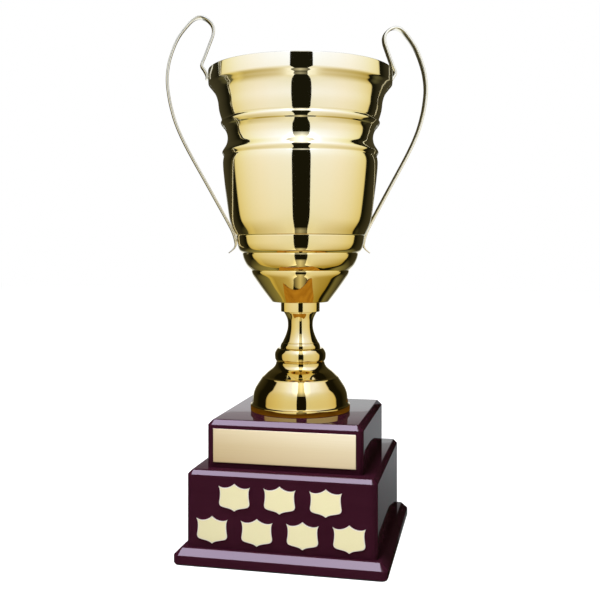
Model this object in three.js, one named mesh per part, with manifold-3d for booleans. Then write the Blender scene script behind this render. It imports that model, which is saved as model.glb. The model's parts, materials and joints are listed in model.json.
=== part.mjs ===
// Cup trophy: a two-handled gold cup clamped by one threaded rod to a lacquered two-tier wooden base.
// Units are millimetres and +Z is up. The origin is on the floor, under the middle of the base.
// The base faces -Y. The cup's two handles lie in a vertical plane that is turned from the X axis.

import * as THREE from 'three';
import { mergeVertices } from 'three/addons/utils/BufferGeometryUtils.js';
import Module from 'manifold-3d';

const wasm = await Module();
wasm.setup();

// ---------------------------------------------------------------------------------------------
// Driving dimensions
// ---------------------------------------------------------------------------------------------

const GAP = 0.1; // between pieces that touch face to face
const CORNER_STEPS = 4; // flats that make one rounded vertical corner of the base

// Square tiers of the base. The top edge of each is a chamfer, run inwards by rise upwards.
const PLINTH = { side: 214, bottom: 1, top: 16, run: 6.6, rise: 6.6, corner: 6 };
const LOWER = { side: 192, bottom: 16, top: 92, run: 4.3, rise: 4.3, corner: 5.5, board: 16, wall: 12 };
const UPPER = { side: 160, bottom: 92, top: 140, run: 5.1, rise: 5.1, corner: 5.5, board: 12, wall: 10 };
const CHAMFER_TOP_CORNER = 1.5; // corner radius of the flat top inside a chamfer
const PLINTH_UNDER_EDGE = 0.7; // softened lower edge of the plinth
const ACCESS_HOLE_RADIUS = 22; // in the plinth, to reach the rod nut
const FELT = { side: 212, thickness: 0.9 };
const GLUE_BLOCK = { side: 26, chamfer: 9 };

// Countersunk wood screws, from under the plinth into the glue blocks.
const WOOD_SCREW = { head: 4, shank: 2, headDepth: 2.4, length: 34, hole: 2.3 };

// Plates on the front of the base.
const PLATE_THICKNESS = 0.8;
const NAMEPLATE = { width: 146, height: 34, centre: 114.6 };
const SHIELD = { pitch: 46, upperRow: 67.5, lowerRow: 34.3 };

// The cup stands on the upper tier. Its rod is M8.
const CUP_TURN = THREE.MathUtils.degToRad(23.5); // handle plane, from +X towards +Y
const ROD = { radius: 4, bottom: 62, top: 268.5 };
const BORE = 4.4;
const NUT_ACROSS_CORNERS = 15;
const LEVEL = { knop: 191.5, stem: 206.5, collar: 246, bowl: 256.7, rim: 506 };
const BOWL_FLOOR = 258.2;

// Handle screws, from inside the bowl: a is the distance from the cup's axis.
const HANDLE_SCREW = { head: 2.6, headHeight: 1.6, shank: 1.25, wallHole: 1.6, tapped: 1.45 };
const LOWER_FIXING = { z: 323, head: 66.5, tip: 71.2, holeEnd: 71.5 };
const UPPER_FIXING = { z: 496.8, head: 97.7, tip: 101.9, holeEnd: 102.2 };

// Flats around each turned piece.
const FLATS = { bowl: 36, foot: 28, stem: 20, knop: 20, hardware: 12 };

// ---------------------------------------------------------------------------------------------
// Geometry helpers
// ---------------------------------------------------------------------------------------------

// Points of a smooth curve through the given ones, with perSpan steps between neighbours.
function smooth(points, perSpan = 1) {
  const curve = new THREE.SplineCurve(points.map(([r, z]) => new THREE.Vector2(r, z)));
  return curve.getPoints((points.length - 1) * perSpan).map((p) => [p.x, p.y]);
}

// Merges shared vertices, drops collapsed triangles and turns the faces outwards.
function closed(geometry) {
  const bare = geometry.index ? geometry.clone() : geometry;
  bare.deleteAttribute('normal');
  bare.deleteAttribute('uv');
  bare.clearGroups();
  const merged = mergeVertices(bare, 1e-4);
  const source = merged.index.array;
  const position = merged.attributes.position;
  const kept = [];
  let volume = 0;
  const a = new THREE.Vector3();
  const b = new THREE.Vector3();
  const c = new THREE.Vector3();
  for (let i = 0; i < source.length; i += 3) {
    const [p, q, r] = [source[i], source[i + 1], source[i + 2]];
    if (p === q || q === r || r === p) continue;
    kept.push(p, q, r);
    a.fromBufferAttribute(position, p);
    b.fromBufferAttribute(position, q);
    c.fromBufferAttribute(position, r);
    volume += a.dot(b.cross(c));
  }
  if (volume < 0) kept.reverse();
  merged.setIndex(kept);
  return merged;
}

function toSolid(geometry) {
  const shell = closed(geometry);
  const mesh = new wasm.Mesh({
    numProp: 3,
    vertProperties: new Float32Array(shell.attributes.position.array),
    triVerts: new Uint32Array(shell.index.array),
  });
  return new wasm.Manifold(mesh);
}

function toGeometry(solid) {
  const mesh = solid.getMesh();
  const geometry = new THREE.BufferGeometry();
  geometry.setAttribute('position', new THREE.BufferAttribute(new Float32Array(mesh.vertProperties), 3));
  geometry.setIndex(Array.from(mesh.triVerts));
  return geometry;
}

function cut(geometry, ...tools) {
  let solid = toSolid(geometry);
  for (const tool of tools) {
    solid = solid.subtract(toSolid(tool));
  }
  return toGeometry(solid);
}

// A body through rings of points that each go once round, with flat ends.
function loft(rings) {
  const count = rings[0].length;
  const positions = rings.flat().flatMap((p) => [p.x, p.y, p.z]);
  const index = [];
  for (let ring = 0; ring + 1 < rings.length; ring += 1) {
    for (let i = 0; i < count; i += 1) {
      const a = ring * count + i;
      const b = ring * count + ((i + 1) % count);
      index.push(a, b, b + count, a, b + count, a + count);
    }
  }
  const last = (rings.length - 1) * count;
  for (let i = 1; i + 1 < count; i += 1) {
    index.push(0, i + 1, i);
    index.push(last, last + i, last + i + 1);
  }
  const geometry = new THREE.BufferGeometry();
  geometry.setAttribute('position', new THREE.Float32BufferAttribute(positions, 3));
  geometry.setIndex(index);
  return geometry;
}

// A turned piece about Z from a profile of [radius, height] pairs.
function turned(profile, flats) {
  const points = profile.map(([r, z]) => new THREE.Vector2(r, z));
  return new THREE.LatheGeometry(points, flats).rotateX(Math.PI / 2);
}

// A turned ring: its profile is closed on itself.
function turnedRing(profile, flats) {
  return turned([...profile, profile[0]], flats);
}

function cylinder(radius, bottom, top, flats = FLATS.hardware) {
  const geometry = new THREE.CylinderGeometry(radius, radius, top - bottom, flats);
  return geometry.rotateX(Math.PI / 2).translate(0, 0, (top + bottom) / 2);
}

// A cylinder along X, at height z.
function crossCylinder(radius, from, to, z, flats = 10) {
  const geometry = new THREE.CylinderGeometry(radius, radius, to - from, flats);
  return geometry.rotateZ(Math.PI / 2).translate((from + to) / 2, 0, z);
}

function box(x, y, z, width, depth, height) {
  return new THREE.BoxGeometry(width, depth, height).translate(x, y, z);
}

// A square outline with rounded corners, at height z.
function squareRing(side, radius, z) {
  const ring = [];
  const centre = side / 2 - radius;
  for (const [quarter, sx, sy] of [[0, 1, 1], [1, -1, 1], [2, -1, -1], [3, 1, -1]]) {
    for (let i = 0; i <= CORNER_STEPS; i += 1) {
      const angle = (quarter + i / CORNER_STEPS) * (Math.PI / 2);
      const x = sx * centre + radius * Math.cos(angle);
      const y = sy * centre + radius * Math.sin(angle);
      ring.push(new THREE.Vector3(x, y, z));
    }
  }
  return ring;
}

// ---------------------------------------------------------------------------------------------
// Assembly and materials
// ---------------------------------------------------------------------------------------------

const trophy = new THREE.Group();
const base = new THREE.Group();
const cup = new THREE.Group();
cup.rotation.z = CUP_TURN;
trophy.add(base, cup);

const finishes = {
  gold: { color: 0xdcb84c, roughness: 0.08, metalness: 1 },
  plate: { color: 0xe8dca8, roughness: 0.35, metalness: 0.9 },
  lacquer: { color: 0x3a1426, roughness: 0.08, metalness: 0 },
  wood: { color: 0xc6a26c, roughness: 0.7, metalness: 0 },
  steel: { color: 0xb4b8bd, roughness: 0.3, metalness: 1 },
  felt: { color: 0x1c1d20, roughness: 1, metalness: 0 },
};

function add(parent, name, finish, geometry) {
  const mesh = new THREE.Mesh(closed(geometry), new THREE.MeshStandardMaterial(finishes[finish]));
  mesh.name = name;
  parent.add(mesh);
  return mesh;
}

// ---------------------------------------------------------------------------------------------
// Base
// ---------------------------------------------------------------------------------------------

const blockCentre = LOWER.side / 2 - LOWER.wall - GAP - GLUE_BLOCK.side / 2;
const quadrants = [[1, 1], [-1, 1], [-1, -1], [1, -1]];

// Shank hole and countersink for one wood screw, at x and y.
function screwHole(x, y, top) {
  const head = PLINTH.bottom + WOOD_SCREW.headDepth;
  const profile = [
    [0, PLINTH.bottom - 1],
    [WOOD_SCREW.head + 0.6, PLINTH.bottom - 1],
    [WOOD_SCREW.head + 0.6, PLINTH.bottom + 0.4],
    [WOOD_SCREW.hole, head + 0.4],
    [WOOD_SCREW.hole, top],
    [0, top],
  ];
  return turned(profile, FLATS.hardware).translate(x, y, 0);
}

function makePlinth() {
  const { side, bottom, top, run, rise, corner } = PLINTH;
  const under = PLINTH_UNDER_EDGE;
  const board = loft([
    squareRing(side - 2 * under, corner - under, bottom),
    squareRing(side, corner, bottom + under),
    squareRing(side, corner, top - rise),
    squareRing(side - 2 * run, CHAMFER_TOP_CORNER, top),
  ]);
  const holes = quadrants.map(([sx, sy]) => screwHole(sx * blockCentre, sy * blockCentre, top + 1));
  const access = cylinder(ACCESS_HOLE_RADIUS, bottom - 1, top + 1, 24);
  add(base, 'plinth_board', 'lacquer', cut(board, access, ...holes));
}

function makeFelt() {
  const ring = (z) => squareRing(FELT.side, PLINTH.corner, z);
  add(base, 'felt_pad', 'felt', loft([ring(0), ring(FELT.thickness)]));
}

// The chamfered board on top of a tier, with the rod hole.
function makeTopBoard(name, tier) {
  const { side, top, run, rise, corner, board } = tier;
  const body = loft([
    squareRing(side, corner, top - board),
    squareRing(side, corner, top - rise),
    squareRing(side - 2 * run, CHAMFER_TOP_CORNER, top),
  ]);
  add(base, name, 'lacquer', cut(body, cylinder(BORE + 0.2, top - board - 1, top + 1, 16)));
}

// Front and back panels run the full width and carry the rounded corners; the sides fit between.
function makePanels(prefix, tier) {
  const { side, bottom, top, corner, board, wall } = tier;
  const half = side / 2;
  const low = bottom + GAP;
  const height = top - board - GAP - low;
  const outline = new THREE.Shape();
  outline.moveTo(-half, half - wall);
  outline.lineTo(half, half - wall);
  outline.lineTo(half, half - corner);
  outline.absarc(half - corner, half - corner, corner, 0, Math.PI / 2);
  outline.lineTo(-half + corner, half);
  outline.absarc(-half + corner, half - corner, corner, Math.PI / 2, Math.PI);
  const options = { depth: height, bevelEnabled: false, curveSegments: CORNER_STEPS };
  const back = new THREE.ExtrudeGeometry(outline, options).translate(0, 0, low);
  const front = back.clone().rotateZ(Math.PI);
  add(base, `${prefix}_front_panel`, 'lacquer', front);
  add(base, `${prefix}_back_panel`, 'lacquer', back);
  const length = side - 2 * wall - 2 * GAP;
  const middle = low + height / 2;
  const x = half - wall / 2;
  add(base, `${prefix}_left_panel`, 'lacquer', box(-x, 0, middle, wall, length, height));
  add(base, `${prefix}_right_panel`, 'lacquer', box(x, 0, middle, wall, length, height));
}

// Triangular-nosed blocks in the inside corners of the lower tier, each with a pilot hole.
function makeGlueBlocks() {
  const half = GLUE_BLOCK.side / 2;
  const low = LOWER.bottom + GAP;
  const height = LOWER.top - LOWER.board - GAP - low;
  const nose = half - GLUE_BLOCK.chamfer;
  quadrants.forEach(([sx, sy], i) => {
    const outline = new THREE.Shape();
    outline.moveTo(sx * half, sy * half);
    outline.lineTo(-sx * half, sy * half);
    outline.lineTo(-sx * half, -sy * nose);
    outline.lineTo(-sx * nose, -sy * half);
    outline.lineTo(sx * half, -sy * half);
    outline.closePath();
    const block = new THREE.ExtrudeGeometry(outline, { depth: height, bevelEnabled: false });
    const pilot = cylinder(WOOD_SCREW.hole, -1, WOOD_SCREW.length - LOWER.bottom + 4, 10);
    const drilled = cut(block, pilot).translate(sx * blockCentre, sy * blockCentre, low);
    add(base, `glue_block_${i + 1}`, 'wood', drilled);
  });
}

// A wood screw with a cross recess, point upwards.
function makeWoodScrews() {
  const { head, shank, headDepth, length } = WOOD_SCREW;
  const low = PLINTH.bottom + 0.4;
  const profile = [
    [0, low],
    [head, low],
    [head, low + 0.4],
    [shank, low + headDepth],
    [shank, low + length - 4],
    [0, low + length],
  ];
  quadrants.forEach(([sx, sy], i) => {
    const recess = [box(0, 0, low, 4.4, 0.9, 2.6), box(0, 0, low, 0.9, 4.4, 2.6)];
    const screw = cut(turned(profile, FLATS.hardware), ...recess);
    screw.translate(sx * blockCentre, sy * blockCentre, 0);
    add(base, `plinth_screw_${i + 1}`, 'steel', screw);
  });
}

// ---------------------------------------------------------------------------------------------
// Plates
// ---------------------------------------------------------------------------------------------

// A flat plate on a front face: the outline is drawn as seen from the front.
function makePlate(name, outline, x, z, faceSide) {
  const plate = new THREE.ExtrudeGeometry(outline, {
    depth: PLATE_THICKNESS,
    bevelEnabled: false,
    curveSegments: 5,
  });
  plate.rotateX(Math.PI / 2).translate(x, -faceSide / 2 - GAP, z);
  add(base, name, 'plate', plate);
}

function makeNameplate() {
  const { width, height, centre } = NAMEPLATE;
  const outline = new THREE.Shape();
  outline.moveTo(-width / 2, -height / 2);
  outline.lineTo(width / 2, -height / 2);
  outline.lineTo(width / 2, height / 2);
  outline.lineTo(-width / 2, height / 2);
  outline.closePath();
  makePlate('nameplate', outline, 0, centre, UPPER.side);
}

// Half of a heater shield with a peaked top: scallop, waisted side, round corner, ogee to the tip.
const SHIELD_HALF = [
  [[4.0, 9.6], [11.5, 7.6], [16.2, 10.9]],
  [[14.0, 7.5], [14.4, 1.5], [15.5, -4.6]],
  [[15.9, -7.3], [14.7, -8.9], [12.6, -9.5]],
  [[8.2, -10.9], [3.4, -10.6], [0, -13.7]],
];
const SHIELD_PEAK = [0, 13.7];

function shieldOutline() {
  const outline = new THREE.Shape();
  outline.moveTo(...SHIELD_PEAK);
  for (const [c1, c2, end] of SHIELD_HALF) {
    outline.bezierCurveTo(...c1, ...c2, ...end);
  }
  const starts = [SHIELD_PEAK, ...SHIELD_HALF.map(([, , end]) => end)];
  for (let i = SHIELD_HALF.length - 1; i >= 0; i -= 1) {
    const [c1, c2] = SHIELD_HALF[i];
    const end = starts[i];
    outline.bezierCurveTo(-c2[0], c2[1], -c1[0], c1[1], -end[0], end[1]);
  }
  return outline;
}

function makeShields() {
  const rows = [
    { z: SHIELD.upperRow, columns: [-1, 0, 1] },
    { z: SHIELD.lowerRow, columns: [-1.5, -0.5, 0.5, 1.5] },
  ];
  let number = 0;
  for (const row of rows) {
    for (const column of row.columns) {
      number += 1;
      makePlate(`shield_${number}`, shieldOutline(), column * SHIELD.pitch, row.z, LOWER.side);
    }
  }
}

// ---------------------------------------------------------------------------------------------
// Cup
// ---------------------------------------------------------------------------------------------

// A hollow spun dome with a flared neck and an upright base ring.
function makeFoot() {
  const low = UPPER.top + GAP;
  const profile = [
    [BORE, LEVEL.knop],
    ...smooth([[26.4, 191.5], [27.1, 188.6], [29.6, 185.2], [34.3, 181.6], [39.6, 176.5]]),
    [41.4, 175.4],
    ...smooth([[41.7, 174.6], [45.8, 168.5], [49.0, 163.1], [51.0, 157.0], [51.7, 149.6]]),
    [52.7, 147.5],
    [54.0, 146.0],
    [54.0, low],
    [52.4, low],
    [52.4, 145.2],
    [50.2, 149.2],
    [49.2, 157.0],
    [44.3, 167.7],
    [39.4, 174.4],
    [33.2, 180.3],
    [28.0, 184.4],
    [25.2, 190.0],
    [BORE, 190.0],
  ];
  add(cup, 'foot', 'gold', turnedRing(profile, FLATS.foot));
}

function makeKnop() {
  const profile = [
    [BORE, LEVEL.knop + GAP],
    [25.8, LEVEL.knop + GAP],
    ...smooth([[26.2, 192.2], [27.6, 195.2], [27.7, 201.0], [25.6, 205.4]]),
    [24.4, LEVEL.stem],
    [BORE, LEVEL.stem],
  ];
  add(cup, 'knop', 'gold', turnedRing(profile, FLATS.knop));
}

function makeStem() {
  const profile = [
    [BORE, LEVEL.stem + GAP],
    [21.5, LEVEL.stem + GAP],
    ...smooth([[21.8, 207.5], [21.4, 209.7], [20.3, 212.2]]),
    ...smooth([[19.4, 213.2], [16.3, 219.7], [14.2, 226.2], [13.6, 232.0], [14.4, 238.2], [17.8, 245.0]]),
    [18.0, LEVEL.collar - GAP],
    [BORE, LEVEL.collar - GAP],
  ];
  add(cup, 'stem', 'gold', turnedRing(profile, FLATS.stem));
}

function makeCollar() {
  const top = LEVEL.bowl - GAP;
  const profile = [
    [BORE, LEVEL.collar],
    [20.7, LEVEL.collar],
    [21.2, LEVEL.collar + 0.6],
    [21.2, top - 0.6],
    [20.7, top],
    [BORE, top],
  ];
  add(cup, 'stem_collar', 'gold', turnedRing(profile, FLATS.stem));
}

// Outer surface from the floor of the bowl to its rim: a bell, two bands, the body,
// a bead, a hollow, a ridge, the flared wall and an upright rim band.
const bowlOutside = [
  [BORE, LEVEL.bowl],
  [30.5, LEVEL.bowl],
  ...smooth([[31.1, 257.2], [39.9, 268.7], [47.9, 280.0], [51.9, 286.1], [53.1, 289.9]]),
  [52.4, 290.7],
  ...smooth([[53.6, 291.3], [58.0, 296.1], [61.4, 302.7], [62.9, 308.3]]),
  [62.3, 309.2],
  ...smooth([[63.4, 310.0], [66.2, 312.7], [68.4, 318.7], [69.9, 327.4]]),
  [69.5, 328.3],
  ...smooth([[70.6, 329.0], [76.2, 342.5], [79.6, 363.5], [82.9, 392.1], [83.9, 406.0], [83.3, 412.2]], 2),
  [82.8, 413.3],
  ...smooth([[83.2, 414.3], [84.7, 418.0], [83.2, 421.3]], 2),
  ...smooth([[82.7, 422.0], [80.1, 426.7], [78.9, 433.2], [80.0, 439.7], [82.9, 444.9]]),
  ...smooth([[84.0, 445.7], [86.2, 449.6], [85.2, 452.3]], 2),
  [84.7, 453.0],
  ...smooth([[85.3, 453.8], [88.0, 463.2], [89.4, 473.5], [92.0, 481.3], [95.9, 486.7], [99.2, 490.8], [99.7, 493.2]]),
  [99.9, 505.2],
  [99.2, LEVEL.rim],
];

// Inner surface, from the rim down: the same sheet metal, 1.5 mm thick.
const bowlInside = [
  [98.4, 505.4],
  ...smooth([[98.3, 494.2], [94.6, 488.2], [90.5, 481.9], [87.9, 473.8], [86.4, 463.4], [83.6, 450.4]]),
  ...smooth([[81.4, 445.6], [77.4, 433.2], [82.4, 417.6], [82.3, 405.5], [78.0, 363.7], [74.6, 343.0], [69.0, 329.2]]),
  ...smooth([[66.9, 319.8], [64.5, 314.0], [61.3, 308.5], [56.4, 296.8], [51.4, 289.5], [46.5, 280.7], [30.0, 258.8]]),
  [29.4, BOWL_FLOOR],
  [BORE, BOWL_FLOOR],
];

function makeBowl() {
  const shell = turnedRing([...bowlOutside, ...bowlInside], FLATS.bowl);
  const reach = LEVEL.rim;
  const holes = [LOWER_FIXING, UPPER_FIXING].map(({ z }) => (
    crossCylinder(HANDLE_SCREW.wallHole, -reach, reach, z)
  ));
  add(cup, 'bowl', 'gold', cut(shell, ...holes));
}

// Centre line of a handle in its own plane, from the flat foot on the rim band, over the arch and
// down to the band at the bottom of the bowl, where it ends in a thin curled tail.
// Each entry is [distance from the cup's axis, height, width, thickness].
const HANDLE_LINE = [
  [101.6, 493.9, 10, 2.6],
  [101.6, 498.6, 10, 3],
  [104.1, 503.6, 10, 3],
  [106.8, 507.8, 10, 3],
  [106.6, 511.4, 10, 3],
  [103.9, 518.0, 10, 3],
  [98.6, 532.0, 10, 3],
  [94.9, 543.0, 10, 3],
  [95.3, 551.0, 10, 3],
  [100.5, 557.2, 10, 3],
  [108.0, 559.9, 10, 3],
  [115.5, 557.2, 10, 3],
  [123.2, 549.0, 10, 3],
  [131.0, 538.0, 10, 3],
  [136.9, 525.0, 10, 3],
  [141.4, 510.0, 10, 3],
  [143.3, 494.0, 10, 3],
  [142.2, 479.0, 10, 3],
  [139.2, 463.0, 10, 3],
  [133.4, 444.0, 10, 3],
  [122.3, 420.0, 10, 3],
  [100.4, 380.5, 10, 3],
  [78.5, 341.0, 10, 3],
  [73.1, 329.8, 10, 3],
  [71.2, 322.6, 9.6, 2.8],
  [70.9, 317.6, 6.5, 2.2],
  [73.2, 313.5, 4, 1.6],
  [78.3, 309.4, 2.4, 1.1],
];
const HANDLE_CORNER = 0.28; // corner of the strip's section, as a share of its thickness

// Eight points of the strip's section, in the plane square to the centre line.
function stripRing(line, size, t) {
  const point = line.getPoint(t);
  const along = line.getTangent(t);
  const { x: width, y: thickness } = size.getPoint(t);
  const cornerCut = HANDLE_CORNER * thickness;
  const w = width / 2;
  const h = thickness / 2;
  const section = [
    [w, h - cornerCut], [w - cornerCut, h], [cornerCut - w, h], [-w, h - cornerCut],
    [-w, cornerCut - h], [cornerCut - w, -h], [w - cornerCut, -h], [w, cornerCut - h],
  ];
  return section.map(([side, out]) => (
    new THREE.Vector3(point.x + out * along.y, side, point.y - out * along.x)
  ));
}

function handleStrip() {
  const line = new THREE.SplineCurve(HANDLE_LINE.map(([r, z]) => new THREE.Vector2(r, z)));
  const size = new THREE.SplineCurve(HANDLE_LINE.map(([, , w, t]) => new THREE.Vector2(w, t)));
  const steps = 2 * (HANDLE_LINE.length - 1);
  const rings = [];
  for (let i = 0; i <= steps; i += 1) {
    rings.push(stripRing(line, size, i / steps));
  }
  return loft(rings);
}

function makeHandles() {
  const holes = [LOWER_FIXING, UPPER_FIXING].map(({ z, head, holeEnd }) => (
    crossCylinder(HANDLE_SCREW.tapped, head, holeEnd, z)
  ));
  const right = cut(handleStrip(), ...holes);
  add(cup, 'handle_right', 'gold', right);
  add(cup, 'handle_left', 'gold', right.clone().rotateZ(Math.PI));
}

// A pan-head screw that lies along +X, its head towards the cup's axis.
function handleScrew({ z, head, tip }) {
  const { headHeight, shank } = HANDLE_SCREW;
  const top = head - headHeight;
  const profile = [
    [0, top],
    [HANDLE_SCREW.head * 0.6, top],
    [HANDLE_SCREW.head, top + headHeight * 0.5],
    [HANDLE_SCREW.head, head],
    [shank, head],
    [shank, tip - 0.4],
    [0, tip],
  ];
  const slot = box(0, 0, top, 7, 0.7, 1.2);
  return cut(turned(profile, 10), slot).rotateY(Math.PI / 2).translate(0, 0, z);
}

function makeHandleScrews() {
  const fixings = { upper: UPPER_FIXING, lower: LOWER_FIXING };
  for (const [level, fixing] of Object.entries(fixings)) {
    const screw = handleScrew(fixing);
    add(cup, `handle_screw_right_${level}`, 'steel', screw);
    add(cup, `handle_screw_left_${level}`, 'steel', screw.clone().rotateZ(Math.PI));
  }
}

// ---------------------------------------------------------------------------------------------
// Clamping hardware
// ---------------------------------------------------------------------------------------------

function washer(outer, bottom, thickness) {
  const top = bottom + thickness;
  return turnedRing([[BORE, bottom], [outer, bottom], [outer, top], [BORE, top]], 16);
}

function hexagon(bottom, top) {
  return cylinder(NUT_ACROSS_CORNERS / 2, bottom, top, 6);
}

function makeHardware() {
  add(cup, 'threaded_rod', 'steel', cylinder(ROD.radius, ROD.bottom, ROD.top));
  const under = LOWER.top - LOWER.board;
  const washerThickness = 1.6;
  const washerLow = under - GAP - washerThickness;
  add(cup, 'rod_washer', 'steel', washer(13, washerLow, washerThickness));
  const nutTop = washerLow - GAP;
  const nutLow = nutTop - 6.5;
  const nut = cut(hexagon(nutLow, nutTop), cylinder(BORE, nutLow - 1, nutTop + 1));
  add(cup, 'rod_nut', 'steel', nut);

  const innerLow = BOWL_FLOOR + GAP;
  add(cup, 'bowl_washer', 'steel', washer(11, innerLow, washerThickness));
  const domeLow = innerLow + washerThickness + GAP;
  const domeBase = domeLow + 6.5;
  const domeRadius = 5.9;
  const dome = [[0, domeBase - 1], [domeRadius, domeBase - 1], [domeRadius, domeBase]];
  for (let i = 1; i <= 4; i += 1) {
    const angle = (i / 4) * (Math.PI / 2);
    dome.push([domeRadius * Math.cos(angle), domeBase + domeRadius * Math.sin(angle)]);
  }
  dome[dome.length - 1][0] = 0;
  const body = toSolid(hexagon(domeLow, domeBase)).add(toSolid(turned(dome, FLATS.hardware)));
  const thread = toSolid(cylinder(BORE, domeLow - 1, ROD.top + 0.5));
  add(cup, 'bowl_nut', 'steel', toGeometry(body.subtract(thread)));
}

// ---------------------------------------------------------------------------------------------

makeFelt();
makePlinth();
makeWoodScrews();
makePanels('lower', LOWER);
makeGlueBlocks();
makeTopBoard('lower_top_board', LOWER);
makePanels('upper', UPPER);
makeTopBoard('upper_top_board', UPPER);
makeNameplate();
makeShields();
makeFoot();
makeKnop();
makeStem();
makeCollar();
makeBowl();
makeHandles();
makeHandleScrews();
makeHardware();

export default trophy;
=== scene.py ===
"""The looks of a gold cup trophy on a lacquered two-tier base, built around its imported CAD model.

Lengths named in mm are millimetres; everything given to Blender is in metres. Turned pieces are
described by the height above their own lowest point, so their places come from the frame.
"""

import json
import math

import bpy
import bmesh
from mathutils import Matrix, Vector


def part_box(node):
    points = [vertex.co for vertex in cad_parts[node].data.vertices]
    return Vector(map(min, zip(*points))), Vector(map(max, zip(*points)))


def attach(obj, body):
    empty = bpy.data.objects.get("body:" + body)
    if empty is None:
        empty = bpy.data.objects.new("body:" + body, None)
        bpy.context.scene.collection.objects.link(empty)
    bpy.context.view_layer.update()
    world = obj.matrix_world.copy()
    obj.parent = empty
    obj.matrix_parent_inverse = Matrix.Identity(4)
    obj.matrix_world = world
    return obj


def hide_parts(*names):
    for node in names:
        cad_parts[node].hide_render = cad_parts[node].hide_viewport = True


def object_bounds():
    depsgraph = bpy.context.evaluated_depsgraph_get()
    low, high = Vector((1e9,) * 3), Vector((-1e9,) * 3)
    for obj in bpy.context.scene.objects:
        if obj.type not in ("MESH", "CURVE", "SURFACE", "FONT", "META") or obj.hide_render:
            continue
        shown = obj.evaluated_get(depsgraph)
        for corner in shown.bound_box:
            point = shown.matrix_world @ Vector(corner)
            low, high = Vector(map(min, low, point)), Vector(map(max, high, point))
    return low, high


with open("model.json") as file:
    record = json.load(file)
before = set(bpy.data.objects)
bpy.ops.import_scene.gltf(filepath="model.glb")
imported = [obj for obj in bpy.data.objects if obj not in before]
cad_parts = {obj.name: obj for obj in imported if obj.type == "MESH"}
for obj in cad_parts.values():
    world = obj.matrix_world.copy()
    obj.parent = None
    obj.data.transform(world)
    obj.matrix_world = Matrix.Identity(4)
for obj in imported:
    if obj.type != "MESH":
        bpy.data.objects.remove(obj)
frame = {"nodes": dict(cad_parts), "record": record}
cad_low, cad_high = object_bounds()

MM = 0.001
NODES = frame["nodes"]

# ---------------------------------------------------------------------------------------------
# Driving dimensions
# ---------------------------------------------------------------------------------------------

TURN_STEPS = 160  # flats round a turned piece
CURVE_STEPS = 6  # steps between two points of a smooth profile
CUP_TURN = math.radians(23.5)  # handle plane, from +X towards +Y
CREASE = math.radians(28)  # edges sharper than this stay sharp
SAME_FLAT = 0.64  # cosine: neighbouring faces that turn less than this share a weighted normal
QUARTERS = ((1, 1), (-1, 1), (-1, -1), (1, -1))  # the signs of X and Y, quarter by quarter

BASE_YAW = math.radians(12.28)  # the camera stands this far round to the base's right
CAMERA_DISTANCE = 0.921
CAMERA_HEIGHT = 0.3098
LENS = 50.76  # mm, on a 36 mm sensor
SHIFT_X = -0.0006
SHIFT_Y = -0.0788
LAMPS_AIM = Vector((0, 0, 0.3))  # the point that the lamps look at


# ---------------------------------------------------------------------------------------------
# Node material helpers
# ---------------------------------------------------------------------------------------------


def empty_material(name):
    """A node material that holds only its output node, its node tree and that node."""
    material = bpy.data.materials.new(name)
    material.use_nodes = True
    tree = material.node_tree
    tree.nodes.clear()
    return material, tree, tree.nodes.new("ShaderNodeOutputMaterial")


def new_material(name):
    """A node material, its node tree and its principled shader."""
    material, tree, output = empty_material(name)
    shader = tree.nodes.new("ShaderNodeBsdfPrincipled")
    tree.links.new(shader.outputs["BSDF"], output.inputs["Surface"])
    return material, tree, shader


def noise(tree, scale, detail=4.0, roughness=0.55, stretch=(1, 1, 1)):
    """Noise in object space, stretched by a factor along each axis."""
    place = tree.nodes.new("ShaderNodeTexCoord")
    mapping = tree.nodes.new("ShaderNodeMapping")
    mapping.inputs["Scale"].default_value = stretch
    texture = tree.nodes.new("ShaderNodeTexNoise")
    texture.inputs["Scale"].default_value = scale
    texture.inputs["Detail"].default_value = detail
    texture.inputs["Roughness"].default_value = roughness
    tree.links.new(place.outputs["Object"], mapping.inputs["Vector"])
    tree.links.new(mapping.outputs["Vector"], texture.inputs["Vector"])
    return texture.outputs["Fac"]


def ramp(tree, value, low, high):
    """Maps a 0 to 1 value between two numbers or two colours."""
    if isinstance(low, (int, float)):
        node = tree.nodes.new("ShaderNodeMapRange")
        node.inputs["To Min"].default_value = low
        node.inputs["To Max"].default_value = high
        tree.links.new(value, node.inputs["Value"])
        return node.outputs["Result"]
    node = tree.nodes.new("ShaderNodeMix")
    node.data_type = "RGBA"
    node.inputs["A"].default_value = (*low, 1)
    node.inputs["B"].default_value = (*high, 1)
    tree.links.new(value, node.inputs["Factor"])
    return node.outputs["Result"]


def colour_stops(tree, value, stops):
    """Maps a 0 to 1 value through several (position, colour) stops."""
    node = tree.nodes.new("ShaderNodeValToRGB")
    elements = node.color_ramp.elements
    for element in list(elements)[1:]:
        elements.remove(element)
    elements[0].position = stops[0][0]
    elements[0].color = (*stops[0][1], 1)
    for position, colour in stops[1:]:
        elements.new(position).color = (*colour, 1)
    tree.links.new(value, node.inputs["Fac"])
    return node.outputs["Color"]


def vary(tree, shader, socket, value, low, high):
    """Lets a 0 to 1 value move one of the shader's sockets between two numbers or two colours."""
    tree.links.new(ramp(tree, value, low, high), shader.inputs[socket])


def combine(tree, operation, a, b):
    """Two colours multiplied or added. Each is an output of the tree or a plain colour."""
    node = tree.nodes.new("ShaderNodeMix")
    node.data_type = "RGBA"
    node.blend_type = operation
    node.inputs["Factor"].default_value = 1
    for socket, colour in (("A", a), ("B", b)):
        if isinstance(colour, tuple):
            node.inputs[socket].default_value = (*colour, 1)
        else:
            tree.links.new(colour, node.inputs[socket])
    return node.outputs["Result"]


def multiply(tree, a, b):
    return combine(tree, "MULTIPLY", a, b)


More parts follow.
